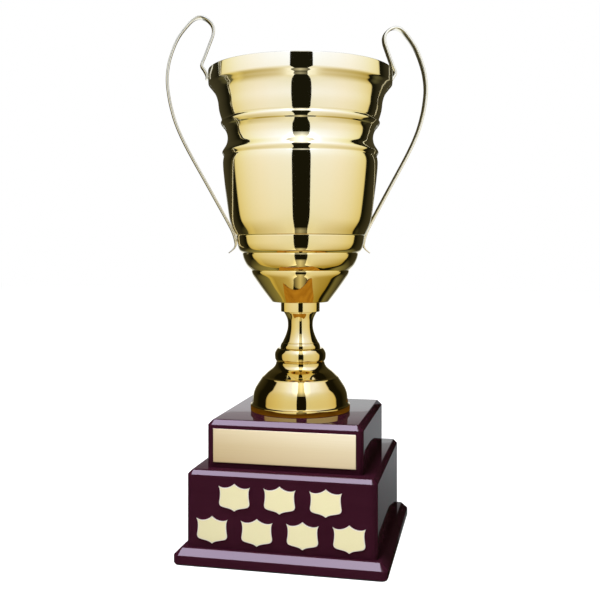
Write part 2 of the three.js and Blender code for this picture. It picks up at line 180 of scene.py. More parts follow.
def maths(tree, operation, a, b=0.0):
    """One sum on two values, kept between 0 and 1."""
    node = tree.nodes.new("ShaderNodeMath")
    node.operation = operation
    node.use_clamp = True
    for socket, value in zip(node.inputs, (a, b)):
        if isinstance(value, float):
            socket.default_value = value
        else:
            tree.links.new(value, socket)
    return node.outputs["Value"]


def between(tree, value, low, high):
    """0 to 1 as a value goes from one number to another."""
    node = tree.nodes.new("ShaderNodeMapRange")
    node.inputs["From Min"].default_value = low
    node.inputs["From Max"].default_value = high
    tree.links.new(value, node.inputs["Value"])
    return node.outputs["Result"]


def along(tree, axis, low, high):
    """0 to 1 between two places on an axis, in metres."""
    place = tree.nodes.new("ShaderNodeTexCoord")
    split = tree.nodes.new("ShaderNodeSeparateXYZ")
    tree.links.new(place.outputs["Object"], split.inputs["Vector"])
    return between(tree, split.outputs[axis], low, high)


def bump(tree, shader, height, strength, distance):
    """Raises the surface where a 0 to 1 value is high, by up to a distance in metres."""
    node = tree.nodes.new("ShaderNodeBump")
    node.inputs["Strength"].default_value = strength
    node.inputs["Distance"].default_value = distance
    tree.links.new(height, node.inputs["Height"])
    tree.links.new(node.outputs["Normal"], shader.inputs["Normal"])


# ---------------------------------------------------------------------------------------------
# Materials
# ---------------------------------------------------------------------------------------------


# Painted light: the gold is deep at the foot and paler towards the rim, a painted stand-in for
# reflections that grow brighter and whiter up the cup: share of the height, colour.
CUP_LOW = 0.14
CUP_HIGH = 0.51
GOLD_WITH_PAINTED_LIGHT = (
    (0.00, (0.71, 0.55, 0.19)),
    (0.40, (0.83, 0.70, 0.34)),
    (0.60, (0.89, 0.80, 0.52)),
    (0.73, (0.91, 0.84, 0.61)),
    (1.00, (0.94, 0.90, 0.76)),
)


def gold_material(name, tones_with_painted_light, low_roughness, high_roughness, ripple):
    """Polished gold plate: a faint cloud in its colour, spinning marks and a slow ripple; its colour
    growing paler with height is painted light.
    """
    material, tree, shader = new_material(name)
    shader.inputs["Metallic"].default_value = 1
    # painted light: the gold made paler with height, for brighter reflections higher up
    tone = colour_stops(tree, along(tree, "Z", CUP_LOW, CUP_HIGH), tones_with_painted_light)
    cloud = ramp(tree, noise(tree, 18, 3), (0.97, 0.965, 0.95), (1, 1, 1))
    tree.links.new(multiply(tree, tone, cloud), shader.inputs["Base Color"])
    marks = noise(tree, 60, 6, 0.7, (1, 1, 22))
    vary(tree, shader, "Roughness", marks, low_roughness, high_roughness)
    bump(tree, shader, noise(tree, 26, 2, 0.4, (1, 1, 1.5)), ripple, 0.0006)
    return material


# The bent strips get a paler gold than the spun pieces, a little paler again higher up: painted
# light, as on the cup.
HANDLE_GOLD_WITH_PAINTED_LIGHT = ((0.00, (0.86, 0.80, 0.62)), (1.00, (0.93, 0.91, 0.80)))


# Painted shade on the nameplate, darkest at its lower left: share of the way, colour.
NAMEPLATE_PAINTED_SHADE_UP = ((0.00, (0.72, 0.65, 0.55)), (0.50, (0.83, 0.78, 0.69)), (1.00, (1.00, 1.00, 1.00)))
NAMEPLATE_PAINTED_SHADE_ACROSS = ((0.00, (0.94, 0.88, 0.77)), (1.00, (1.00, 1.00, 1.00)))


def plate_material():
    """Satin gold plate, brushed along X, with painted shade that darkens it towards its lower left.
    """
    material, tree, shader = new_material("satin_plate")
    low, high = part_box("nameplate")
    # painted shade: darker low on the plate and towards its left
    up = colour_stops(tree, along(tree, "Z", low.z, high.z), NAMEPLATE_PAINTED_SHADE_UP)
    across = colour_stops(tree, along(tree, "X", low.x, high.x), NAMEPLATE_PAINTED_SHADE_ACROSS)
    shader.inputs["Metallic"].default_value = 0.85
    grain = noise(tree, 160, 8, 0.7, (0.06, 1, 6))
    metal = ramp(tree, grain, (0.85, 0.76, 0.54), (0.94, 0.87, 0.68))
    metal_with_painted_shade = multiply(tree, metal, multiply(tree, up, across))
    tree.links.new(metal_with_painted_shade, shader.inputs["Base Color"])
    vary(tree, shader, "Roughness", grain, 0.30, 0.46)
    bump(tree, shader, grain, 0.12, 0.0002)
    return material


def shield_material():
    """Pale satin gold with a fine sand grain."""
    material, tree, shader = new_material("pale_plate")
    shader.inputs["Metallic"].default_value = 0.55
    grain = noise(tree, 900, 4, 0.6)
    vary(tree, shader, "Base Color", grain, (0.90, 0.85, 0.49), (0.96, 0.90, 0.56))
    vary(tree, shader, "Roughness", grain, 0.42, 0.55)
    bump(tree, shader, grain, 0.06, 0.0001)
    return material


def edge_material():
    """Bright bevelled edge of a plate."""
    material, tree, shader = new_material("plate_edge")
    shader.inputs["Metallic"].default_value = 0.4
    tone = noise(tree, 300, 3)
    vary(tree, shader, "Base Color", tone, (0.90, 0.83, 0.66), (0.96, 0.92, 0.80))
    vary(tree, shader, "Roughness", tone, 0.35, 0.5)
    return material


def lacquer_material():
    """Dark wine-red piano lacquer: a faint figure deep in the stain under a clear gloss coat."""
    material, tree, shader = new_material("piano_lacquer")
    figure = noise(tree, 9, 6, 0.6, (1, 1, 5))
    vary(tree, shader, "Base Color", figure, (0.074, 0.014, 0.028), (0.106, 0.023, 0.043))
    shader.inputs["Roughness"].default_value = 0.5
    shader.inputs["Specular IOR Level"].default_value = 0.0
    shader.inputs["Coat Weight"].default_value = 1.0
    shader.inputs["Coat Roughness"].default_value = 0.015
    shader.inputs["Coat IOR"].default_value = 1.5
    bump(tree, shader, noise(tree, 22, 2, 0.4), 0.004, 0.0005)
    return material


def wood_material():
    """Bare softwood with its grain along Z."""
    material, tree, shader = new_material("bare_softwood")
    grain = noise(tree, 90, 6, 0.6, (1, 1, 0.08))
    vary(tree, shader, "Base Color", grain, (0.42, 0.27, 0.13), (0.66, 0.48, 0.27))
    vary(tree, shader, "Roughness", grain, 0.6, 0.8)
    bump(tree, shader, grain, 0.3, 0.0004)
    return material


def steel_material():
    """Zinc-plated steel."""
    material, tree, shader = new_material("zinc_steel")
    shader.inputs["Metallic"].default_value = 1
    cloud = noise(tree, 400, 5, 0.6)
    vary(tree, shader, "Base Color", cloud, (0.50, 0.51, 0.53), (0.68, 0.69, 0.71))
    vary(tree, shader, "Roughness", cloud, 0.22, 0.4)
    return material


def felt_material():
    """Short dark wool felt."""
    material, tree, shader = new_material("wool_felt")
    fibre = noise(tree, 1400, 6, 0.75)
    vary(tree, shader, "Base Color", fibre, (0.008, 0.008, 0.009), (0.03, 0.03, 0.033))
    shader.inputs["Roughness"].default_value = 0.95
    shader.inputs["Sheen Weight"].default_value = 0.4
    bump(tree, shader, fibre, 0.8, 0.0006)
    return material


gold = gold_material("polished_gold", GOLD_WITH_PAINTED_LIGHT, 0.02, 0.06, 0.02)
handle_gold = gold_material("handle_gold", HANDLE_GOLD_WITH_PAINTED_LIGHT, 0.03, 0.08, 0.02)
satin_plate = plate_material()
pale_plate = shield_material()
plate_edge = edge_material()
lacquer = lacquer_material()
softwood = wood_material()
steel = steel_material()
felt = felt_material()


# ---------------------------------------------------------------------------------------------
# Mesh helpers
# ---------------------------------------------------------------------------------------------


def blend(weights, points):
    """The weighted sum of some points."""
    return tuple(sum(w * c for w, c in zip(weights, axis)) for axis in zip(*points))


def smooth(points, steps=CURVE_STEPS):
    """Points of a Catmull-Rom curve through the given ones, the same curve that the CAD uses."""
    result = []
    last = len(points) - 1
    for i in range(last):
        neighbours = [points[min(max(i + k, 0), last)] for k in (-1, 0, 1, 2)]
        for step in range(steps):
            t = step / steps
            weights = (
                -0.5 * t + t * t - 0.5 * t**3,
                1 - 2.5 * t * t + 1.5 * t**3,
                0.5 * t + 2 * t * t - 1.5 * t**3,
                -0.5 * t * t + 0.5 * t**3,
            )
            result.append(blend(weights, neighbours))
    result.append(tuple(points[last]))
    return result


def quarter_arc(centre, radius, quarter, steps):
    """One quarter of a circle. Quarter 0 runs from +X to +Y, quarter 1 from +Y to -X, and so on."""
    points = []
    for i in range(steps + 1):
        angle = (quarter + i / steps) * math.pi / 2
        x = centre[0] + radius * math.cos(angle)
        y = centre[1] + radius * math.sin(angle)
        points.append((x, y))
    return points


def bands(rings, count, closed=False):
    """Faces between neighbouring rings of vertices; closed also joins the last to the first."""
    faces = []
    for ring in range(rings if closed else rings - 1):
        a, b = ring * count, (ring + 1) % rings * count
        for k in range(count):
            n = (k + 1) % count
            faces.append((a + k, a + n, b + n, b + k))
    return faces


def weight_normals(mesh):
    """Lets each large flat keep its own normal right up to its rounded edges."""
    around = [[] for _ in mesh.vertices]
    for face in mesh.polygons:
        for vertex in face.vertices:
            around[vertex].append(face)
    normals = []
    for face in mesh.polygons:
        for loop in face.loop_indices:
            total = Vector((0, 0, 0))
            for other in around[mesh.loops[loop].vertex_index]:
                if other.normal.dot(face.normal) > SAME_FLAT:
                    total += other.normal * other.area
            normals.append(total.normalized())
    mesh.normals_split_custom_set(normals)


def make_piece(name, vertices, faces, materials, nodes, flats=False):
    """A finished piece, which stands for its CAD nodes. Flats keep even normals on flat faces."""
    mesh = bpy.data.meshes.new(name)
    mesh.from_pydata(vertices, [], faces)
    mesh.validate()
    repair = bmesh.new()
    repair.from_mesh(mesh)
    bmesh.ops.remove_doubles(repair, verts=repair.verts, dist=1e-7)
    bmesh.ops.recalc_face_normals(repair, faces=repair.faces)
    repair.to_mesh(mesh)
    repair.free()
    for material in materials:
        mesh.materials.append(material)
    mesh.shade_smooth()
    mesh.set_sharp_from_angle(angle=CREASE)
    if flats:
        weight_normals(mesh)
    piece = bpy.data.objects.new(name, mesh)
    bpy.context.scene.collection.objects.link(piece)
    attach(piece, "root")
    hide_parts(*nodes)
    return piece


def turned_ring(profile, low, steps=TURN_STEPS):
    """Vertices and faces of a closed profile, in mm above low, turned about Z."""
    vertices = []
    for i in range(steps):
        angle = 2 * math.pi * i / steps
        c, s = math.cos(angle), math.sin(angle)
        vertices += [(r * MM * c, r * MM * s, low + z * MM) for r, z in profile]
    return vertices, bands(steps, len(profile), closed=True)


def make_turned(name, profile, node):
    """A turned piece of the gold cup, at its CAD node's height."""
    vertices, faces = turned_ring(profile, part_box(node)[0].z)
    return make_piece(name, vertices, faces, [gold], [node])


# ---------------------------------------------------------------------------------------------
# Cup
# ---------------------------------------------------------------------------------------------

BORE = 4.4  # mm, radius of the hole for the threaded rod

# A profile's points are (radius, height above the piece's own lowest point), in mm.


def rounded(corner, before, after, radius, steps=4):
    """Points of a fillet at a corner between the two neighbouring points."""
    corner, before, after = Vector(corner), Vector(before), Vector(after)
    start = corner + (before - corner).normalized() * radius
    end = corner + (after - corner).normalized() * radius
    points = []
    for i in range(steps + 1):
        t = i / steps
        p = start * (1 - t) ** 2 + corner * 2 * t * (1 - t) + end * t * t
        points.append((p.x, p.y))
    return points


def make_foot():
    """Spun dome with a flared neck, a fine step at its shoulder, a cove and a base ring."""
    outside = [
        (BORE, 51.4),
        *smooth([(26.4, 51.4), (27.1, 48.5), (29.6, 45.1), (34.3, 41.5), (39.6, 36.4)]),
        (40.2, 36.1),
        (41.4, 35.3),
        *smooth([(41.7, 34.5), (45.8, 28.4), (49.0, 23.0), (51.0, 16.9), (51.7, 9.5)]),
        *smooth([(51.9, 8.6), (52.5, 7.2), (53.6, 6.3)]),
        *rounded((54.0, 6.0), (53.6, 6.3), (54.0, 0), 0.4),
        *rounded((54.0, 0), (54.0, 6.0), (52.4, 0), 0.4),
    ]
    inside = [
        (52.4, 0),
        (52.4, 5.1),
        *smooth([(50.2, 9.1), (49.2, 16.9), (44.3, 27.6), (39.4, 34.3), (33.2, 40.2), (28.0, 44.3)]),
        (25.2, 49.9),
        (BORE, 49.9),
    ]
    return make_turned("cup_foot", outside + inside, "foot")


def make_knop():
    """A turned bead."""
    profile = [
        (BORE, 0),
        (25.8, 0),
        *smooth([(26.2, 0.6), (27.6, 3.6), (27.7, 9.4), (25.6, 13.8)]),
        *rounded((24.4, 14.9), (25.6, 13.8), (BORE, 14.9), 0.3),
        (BORE, 14.9),
    ]
    return make_turned("cup_knop", profile, "knop")


def make_stem():
    """A waisted column between two fine steps."""
    profile = [
        (BORE, 0),
        *rounded((21.6, 0), (BORE, 0), (21.8, 0.9), 0.3),
        *smooth([(21.8, 0.9), (21.4, 3.1), (20.3, 5.6)]),
        (19.6, 5.9),
        *smooth([(19.4, 6.6), (16.3, 13.1), (14.2, 19.6), (13.6, 25.4), (14.4, 31.6), (17.8, 38.4)]),
        (18.0, 39.3),
        (BORE, 39.3),
    ]
    return make_turned("cup_stem", profile, "stem")


def make_collar():
    """A short cylinder under the bowl."""
    top = 10.6
    profile = [
        (BORE, 0),
        *rounded((21.2, 0), (BORE, 0), (21.2, top), 0.6),
        *rounded((21.2, top), (21.2, 0), (BORE, top), 0.6),
        (BORE, top),
    ]
    return make_turned("cup_collar", profile, "stem_collar")


def bowl_profile():
    """A bell, two bands, the body, a bead, a hollow, a ridge, the flared wall and the rim band."""
    outside = [
        (BORE, 0),
        *rounded((30.8, 0), (BORE, 0), (39.9, 12.0), 0.5),
        *smooth([(31.1, 0.5), (39.9, 12.0), (47.9, 23.3), (51.9, 29.4), (53.1, 33.2)])[1:],
        (52.8, 33.9),
        (53.0, 34.3),
        *smooth([(53.6, 34.6), (58.0, 39.4), (61.4, 46.0), (62.9, 51.6)]),
        (62.6, 52.4),
        (62.7, 52.8),
        *smooth([(63.4, 53.3), (66.2, 56.0), (68.4, 62.0), (69.9, 70.7)]),
        (69.7, 71.4),
        (69.9, 71.8),
        *smooth([
            (70.6, 72.3), (76.2, 85.8), (79.6, 106.8), (82.9, 135.4), (83.9, 149.3), (83.3, 155.5),
        ]),
        (82.9, 156.4),
        (82.9, 156.9),
        *smooth([(83.2, 157.6), (84.7, 161.3), (83.2, 164.6)]),
        *smooth([(82.7, 165.3), (80.1, 170.0), (78.9, 176.5), (80.0, 183.0), (82.9, 188.2)]),
        *smooth([(84.0, 189.0), (86.2, 192.9), (85.2, 195.6)]),
        (84.8, 196.1),
        (84.9, 196.5),
        *smooth([
            (85.3, 197.1), (88.0, 206.5), (89.4, 216.8), (92.0, 224.6), (95.9, 230.0),
            (99.2, 234.1), (99.7, 236.5),
        ]),
        (99.9, 248.3),
        *rounded((99.8, 249.3), (99.9, 248.3), (98.6, 249.3), 0.5),
        *rounded((98.5, 249.3), (99.0, 249.3), (98.4, 247.0), 0.4),
    ]
    inside = [
        (98.4, 247.0),
        *smooth([
            (98.3, 237.5), (94.6, 231.5), (90.5, 225.2), (87.9, 217.1), (86.4, 206.7), (83.6, 193.7),
            (80.4, 187.2), (77.4, 176.5), (82.0, 160.9), (82.3, 148.8), (78.0, 107.0), (74.6, 86.3),
            (69.0, 72.5), (66.9, 63.1), (64.5, 57.3), (61.3, 51.8), (56.4, 40.1), (51.4, 32.8),
            (46.5, 24.0), (30.0, 2.1),
        ]),
        (29.4, 1.5),
        (BORE, 1.5),
    ]
    return outside + inside


def make_bowl():
    return make_turned("cup_bowl", bowl_profile(), "bowl")


# Centre line of a handle in its own plane, as in the CAD: from the flat foot on the rim band, over
# the arch and down to the curled tail. [distance from the axis, height, width, thickness], mm.
HANDLE_LINE = [
    (101.6, 493.9, 10, 2.6), (101.6, 498.6, 10, 3), (104.1, 503.6, 10, 3), (106.8, 507.8, 10, 3),
    (106.6, 511.4, 10, 3), (103.9, 518.0, 10, 3), (98.6, 532.0, 10, 3), (94.9, 543.0, 10, 3),
    (95.3, 551.0, 10, 3), (100.5, 557.2, 10, 3), (108.0, 559.9, 10, 3), (115.5, 557.2, 10, 3),
    (123.2, 549.0, 10, 3), (131.0, 538.0, 10, 3), (136.9, 525.0, 10, 3), (141.4, 510.0, 10, 3),
    (143.3, 494.0, 10, 3), (142.2, 479.0, 10, 3), (139.2, 463.0, 10, 3), (133.4, 444.0, 10, 3),
    (122.3, 420.0, 10, 3), (100.4, 380.5, 10, 3), (78.5, 341.0, 10, 3), (73.1, 329.8, 10, 3),
    (71.2, 322.6, 9.6, 2.8), (70.9, 317.6, 6.5, 2.2), (73.2, 313.5, 4, 1.6), (78.3, 309.4, 2.4, 1.1),
]
STRIP_EDGE = 0.30  # radius of the strip's long edges, as a share of its thickness
STRIP_CROWN = 0.10  # how far the strip's wide faces are crowned, as a share of its thickness
EDGE_STEPS = 4
HANDLE_STEPS = 8  # steps between two points of the centre line


def strip_section(width, thickness):
    """Outline of the strip: rounded long edges and gently crowned faces, (side, out) in mm."""
    radius = STRIP_EDGE * thickness
    crown = STRIP_CROWN * thickness
    w, h = width / 2 - radius, thickness / 2 - radius - crown
    outline = []
    for quarter, (sx, sy) in enumerate(QUARTERS):
        outline += quarter_arc((sx * w, sy * h), radius, quarter, EDGE_STEPS)
        if quarter in (0, 2):
            for share in (0.5, 0, -0.5):
                outline.append((sx * w * share, sy * (thickness / 2 - crown * share * share)))
    return outline


def make_handle(name, node, turn):
    """A bent strip: its section carried along the centre line, in a plane turned about Z."""
    line = smooth(HANDLE_LINE, HANDLE_STEPS)
    vertices = []
    c, s = math.cos(turn), math.sin(turn)
    for i, (r, z, width, thickness) in enumerate(line):
        ahead = line[min(i + 1, len(line) - 1)]
        behind = line[max(i - 1, 0)]
        heading = Vector((ahead[0] - behind[0], ahead[1] - behind[1])).normalized()
        for side, out in strip_section(width, thickness):
            x, height = r + out * heading.y, z - out * heading.x
            vertices.append(((x * c - side * s) * MM, (x * s + side * c) * MM, height * MM))
    total = len(vertices)
    count = total // len(line)
    faces = bands(len(line), count)
    faces += [tuple(range(count)), tuple(range(total - count, total))]
    return make_piece(name, vertices, faces, [handle_gold], [node])


# ---------------------------------------------------------------------------------------------
# Base
# ---------------------------------------------------------------------------------------------

CORNER_STEPS = 10
EDGE_ROUND = 0.7 * MM  # lacquer rounds every long edge a little
TIER_CORNER = 5.5 * MM  # radius of a tier's upright corners
PLINTH_CORNER = 6 * MM


def square_ring(half, radius, z):
    """A square outline with rounded corners, in metres."""
    ring = []
    middle = half - radius
    for quarter, (sx, sy) in enumerate(QUARTERS):
        arc = quarter_arc((sx * middle, sy * middle), radius, quarter, CORNER_STEPS)
        ring += [(x, y, z) for x, y in arc]
    return ring


def rounded_levels(levels):
    """Softens the edges between (half, corner radius, z) levels of a tier's board."""
    result = [levels[0]]
    for before, level, after in zip(levels, levels[1:], levels[2:]):
        here = Vector(level)
        start = here + (Vector(before) - here).normalized() * EDGE_ROUND
        end = here + (Vector(after) - here).normalized() * EDGE_ROUND
        for t in (0, 0.25, 0.5, 0.75, 1):
            point = start * (1 - t) ** 2 + here * 2 * t * (1 - t) + end * t * t
            result.append(tuple(point))
    result.append(levels[-1])
    return result


def make_board(name, node, levels, hole):
    """A board through square levels, with a round hole; its top and bottom are meshed round it."""
    levels = rounded_levels(levels)
    rings = [square_ring(half, radius, z) for half, radius, z in levels]
    angles = [math.atan2(y, x) for x, y, _ in rings[0]]
    for z in (levels[-1][2], levels[0][2]):
        rings.append([(hole * math.cos(angle), hole * math.sin(angle), z) for angle in angles])
    vertices = [point for ring in rings for point in ring]
    faces = bands(len(rings), len(angles), closed=True)
    return make_piece(name, vertices, faces, [lacquer], [node], flats=True)


def make_plinth():
    """The plinth board, with a chamfered top edge and a fine one below."""
    low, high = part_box("plinth_board")
    half = high.x
    chamfer = 6.6 * MM
    levels = [
        (half - 6 * MM, 4 * MM, low.z),
        (half - 0.7 * MM, 5.4 * MM, low.z),
        (half, PLINTH_CORNER, low.z + 0.8 * MM),
        (half, PLINTH_CORNER, high.z - chamfer),
        (half - chamfer, 2 * MM, high.z),
        (half - 14 * MM, 1.5 * MM, high.z),
    ]
    return make_board("plinth", "plinth_board", levels, 22 * MM)


def make_top_board(name, node, chamfer):
    """The board over a tier, with a chamfered top edge."""
    low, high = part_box(node)
    half = high.x
    levels = [
        (half, TIER_CORNER, low.z),
        (half, TIER_CORNER, high.z - chamfer),
        (half - chamfer, 1.8 * MM, high.z),
        (half - chamfer - 6 * MM, 1.5 * MM, high.z),
    ]
    return make_board(name, node, levels, 4.6 * MM)


def side_outline(low, high):
    """A side panel seen from above. It is plain and runs a little into the front and back ones."""
    reach = 0.1 * MM
    return [
        (low.x, low.y - reach),
        (high.x, low.y - reach),
        (high.x, high.y + reach),
        (low.x, high.y + reach),
    ]


def front_outline(low, high):
    """A front or back panel seen from above. It carries the tier's two rounded corners."""
    inner, outer = sorted((low.y, high.y), key=abs)
    outline = [(-high.x, inner), (high.x, inner)]
    for quarter, sign in enumerate((1, -1)):
        centre = (sign * (high.x - TIER_CORNER), abs(outer) - TIER_CORNER)
        arc = quarter_arc(centre, TIER_CORNER, quarter, CORNER_STEPS)
        outline += [(x, math.copysign(y, outer)) for x, y in arc]
    return outline


def make_panel(name, node, find_outline, low_z, high_z):
    """A lacquered panel between two heights."""
    outline = find_outline(*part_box(node))
    count = len(outline)
    vertices = [(x, y, z) for z in (low_z, high_z) for x, y in outline]
    faces = [tuple(range(count)), tuple(range(count, 2 * count)), *bands(2, count)]
    return make_piece(name, vertices, faces, [lacquer], [node], flats=True)


def make_tier(prefix, board_below, board_above):
    """The four panels of a tier, from the board under them to the board over them."""
    low_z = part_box(board_below)[1].z
    high_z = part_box(board_above)[0].z
    for side in ("front", "back", "left", "right"):
        find_outline = front_outline if side in ("front", "back") else side_outline
        make_panel(f"{prefix}_{side}", f"{prefix}_{side}_panel", find_outline, low_z, high_z)


# ---------------------------------------------------------------------------------------------
# Plates
# ---------------------------------------------------------------------------------------------


SOFT_EDGE = 0.25  # mm, how far a plate's front edge is rounded off


def shrink(outline, distance):
    """The outline drawn in towards its middle, by a distance at its widest and highest points."""
    wide = max(x for x, _ in outline)
    high = max(z for _, z in outline)
    return [(x * (1 - distance / wide), z * (1 - distance / high)) for x, z in outline]


def make_plate(name, node, outline, border, face_material):
    """A flat plate: outline points in mm about its middle, with a bright bevelled border."""
    low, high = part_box(node)
    middle = (low + high) / 2
    front, back = low.y, high.y
    inner = shrink(outline, border)
    soft = shrink(outline, SOFT_EDGE)
    rings = [(outline, back), (outline, front + SOFT_EDGE * MM), (soft, front), (inner, front)]
    vertices = []
    for points, y in rings:
        vertices += [(middle.x + x * MM, y, middle.z + z * MM) for x, z in points]
    total, count = len(vertices), len(outline)
    faces = bands(len(rings), count)
    faces += [tuple(range(count)), tuple(range(total - count, total))]
    finishes = [plate_edge, face_material]
    piece = make_piece(name, vertices, faces, finishes, [node], flats=True)
    for polygon in piece.data.polygons:
        wide = len(polygon.vertices) == count
        polygon.material_index = 1 if wide and polygon.center.y < (front + back) / 2 else 0
    return piece


def bezier(start, c1, c2, end, steps=8):
    """Points of a Bezier curve, without its first one."""
    points = []
    for i in range(1, steps + 1):
        t = i / steps
        weights = ((1 - t) ** 3, 3 * t * (1 - t) ** 2, 3 * t * t * (1 - t), t**3)
        points.append(blend(weights, (start, c1, c2, end)))
    return points


# Half of a heater shield with a peaked top: scallop, waisted side, round corner, ogee to the tip.
SHIELD_PEAK = (0, 13.7)
SHIELD_HALF = [
    ((4.0, 9.6), (11.5, 7.6), (16.2, 10.9)),
    ((14.0, 7.5), (14.4, 1.5), (15.5, -4.6)),
    ((15.9, -7.3), (14.7, -8.9), (12.6, -9.5)),
    ((8.2, -10.9), (3.4, -10.6), (0, -13.7)),
]


def shield_outline():
    """The whole shield, from its left half's mirrored points round to its peak."""
    half = [SHIELD_PEAK]
    for c1, c2, end in SHIELD_HALF:
        half += bezier(half[-1], c1, c2, end)
    left = [(-x, z) for x, z in half[1:-1]]
    return left + half[:0:-1] + [SHIELD_PEAK]


def make_plates():
    """The nameplate and the seven shields, three above four."""
    low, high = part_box("nameplate")
    w, h = (high.x - low.x) / 2 / MM, (high.z - low.z) / 2 / MM
    nameplate = [(-w, -h), (w, -h), (w, h), (-w, h)]
    make_plate("name_plate", "nameplate", nameplate, 1.1, satin_plate)
    outline = shield_outline()
    for number in range(1, 8):
        make_plate(f"shield_plate_{number}", f"shield_{number}", outline, 1.0, pale_plate)


# ---------------------------------------------------------------------------------------------
# Pieces kept from the CAD
# ---------------------------------------------------------------------------------------------


def finish_cad_nodes():
    """Gives the CAD's own steel, bare wood and felt pieces their materials."""
    finishes = {"steel": steel, "block_wood": softwood, "felt": felt}
    for part in frame["record"]["subparts"]:
        material = finishes.get(part["material_slot"])
        if material:
            node = NODES[part["node"]]
            node.data.materials.clear()
            node.data.materials.append(material)


# ---------------------------------------------------------------------------------------------
# Stage
# ---------------------------------------------------------------------------------------------


def toward(azimuth, elevation, distance):
    """A point round the lamps' aim, at an angle from the camera's side to the right and upwards."""
    angle = BASE_YAW + math.radians(azimuth)
    rise = math.radians(elevation)
    flat = distance * math.cos(rise)
    away = Vector((flat * math.sin(angle), -flat * math.cos(angle), distance * math.sin(rise)))
    return LAMPS_AIM + away


FLOOR_REACH = 6  # metres
STAGE_GAP = 0.3 * MM  # keeps a square of the stage clear of the face beside it

# Colours up a side panel and outwards along it, from its inner edge: share of the way, colour.
PANEL_UP = (
    (0.06, (1.05, 1.02, 0.86)),
    (0.21, (0.90, 0.84, 0.62)),
    (0.41, (0.93, 0.91, 0.80)),
    (0.51, (1.00, 1.00, 1.00)),
    (0.57, (1.05, 1.10, 1.22)),
    (0.63, (1.09, 1.17, 1.40)),
    (0.71, (1.13, 1.25, 1.60)),
)
PANEL_OUT = (
    (0.00, (1.00, 1.00, 1.00)),
    (0.33, (1.00, 0.97, 0.93)),
    (0.48, (0.99, 0.93, 0.82)),
    (0.62, (0.94, 0.87, 0.68)),
    (0.75, (0.90, 0.81, 0.52)),
    (0.95, (0.82, 0.70, 0.34)),
    (1.00, (0.30, 0.24, 0.10)),
)
NARROW_UP = (
    (0.21, (0.88, 0.82, 0.60)),
    (0.51, (1.00, 1.00, 1.00)),
    (0.57, (1.02, 1.06, 1.25)),
    (0.63, (1.11, 1.22, 1.95)),
    (0.70, (1.30, 1.52, 3.10)),
)
LEFT_NARROW_OUT = (
    (0.00, (1.00, 1.00, 1.00)),
    (0.35, (1.00, 0.98, 0.92)),
    (0.60, (0.94, 0.86, 0.60)),
    (0.94, (0.80, 0.68, 0.42)),
    (1.00, (0.25, 0.20, 0.08)),
)
RIGHT_NARROW_OUT = (
    (0.00, (1.00, 1.00, 1.00)),
    (0.60, (0.99, 0.95, 0.84)),
    (0.94, (0.90, 0.78, 0.50)),
    (1.00, (0.30, 0.24, 0.10)),
)
# The lower outer corner of a wide side panel: where it starts, how fast it darkens, its colours.
CORNER_ACROSS = 0.2
CORNER_UP = 0.45
CORNER_RATE = 5.0
CORNER = (
    (0.00, (0.50, 0.43, 0.16)),
    (0.60, (0.62, 0.54, 0.30)),
    (1.00, (1.00, 1.00, 1.00)),
)
TOP_UP = ((0.00, (0.30, 0.30, 0.28)), (0.25, (0.55, 0.55, 0.53)), (0.60, (1, 1, 1)))
SOFT_ACROSS = (
    (0.00, (0.00, 0.00, 0.00)),
    (0.30, (0.60, 0.59, 0.56)),
    (0.50, (1.00, 1.00, 1.00)),
    (0.70, (0.60, 0.59, 0.56)),
    (1.00, (0.00, 0.00, 0.00)),
)
LOW_UP = (
    (0.00, (0.75, 0.64, 0.34)),
    (0.80, (0.86, 0.78, 0.52)),
    (1.00, (0.10, 0.09, 0.05)),
)
BACK_UP = (
    (0.00, (0.60, 0.62, 0.62)),
    (0.40, (1.00, 1.00, 1.00)),
    (0.89, (1.00, 1.00, 1.00)),
    (0.93, (0.75, 0.72, 0.73)),
    (0.96, (0.40, 0.38, 0.39)),
    (1.00, (0.20, 0.19, 0.20)),
)
WIDE_BACK_UP = (
    (0.00, (0.25, 0.27, 0.28)),
    (0.14, (0.50, 0.54, 0.56)),
    (0.30, (0.90, 0.96, 1.00)),
    (1.00, (0.90, 0.96, 1.00)),
)
PLAIN = ((0, (1, 1, 1)), (1, (1, 1, 1)))
WARM = ((0, (1.0, 0.86, 0.45)), (1, (1.0, 0.86, 0.45)))
# name: azimuth and elevation in degrees, distance, width, height, radiance, colours up and out
LIGHTS = {
    "left_panel": (-61.25, 0, 1.2, 2.79, 7.0, 1.0, PANEL_UP, PANEL_OUT),
    "right_panel": (62.45, 0, 1.2, 2.67, 7.0, 1.0, PANEL_UP, PANEL_OUT),
    "left_narrow_panel": (-49.25, 0, 1.2, 2.04, 7.0, 1.0, NARROW_UP, LEFT_NARROW_OUT),
    "right_narrow_panel": (54.0, 0, 1.2, 2.02, 7.0, 1.0, NARROW_UP, RIGHT_NARROW_OUT),
    "front_top_panel": (3, 54, 1.9, 1.5, 1.75, 1.7, TOP_UP, SOFT_ACROSS),
    "front_low_card": (0, -50, 0.30, 0.14, 0.19, 0.95, LOW_UP, SOFT_ACROSS),
    "plate_fill": (-16, -12, 0.6, 1.4, 0.9, 1.36, PLAIN, SOFT_ACROSS),
    "rear_glow": (180, 0, 1.6, 6.0, 5.0, 0.06, WARM, SOFT_ACROSS),
    "back_panel": (180, -9, 1.6, 1.0, 1.0, 0.65, BACK_UP, PLAIN),
    "wide_back_panel": (180, -12, 1.6, 1.5, 1.0, 0.30, WIDE_BACK_UP, PLAIN),
}


def peak(stops):
    """The brightest channel of some (position, colour) stops."""
    return max(max(colour) for _, colour in stops)


def scaled(stops):
    """The stops, scaled so that the brightest channel is 1."""
    top = peak(stops)
    return [(position, tuple(c / top for c in colour)) for position, colour in stops]


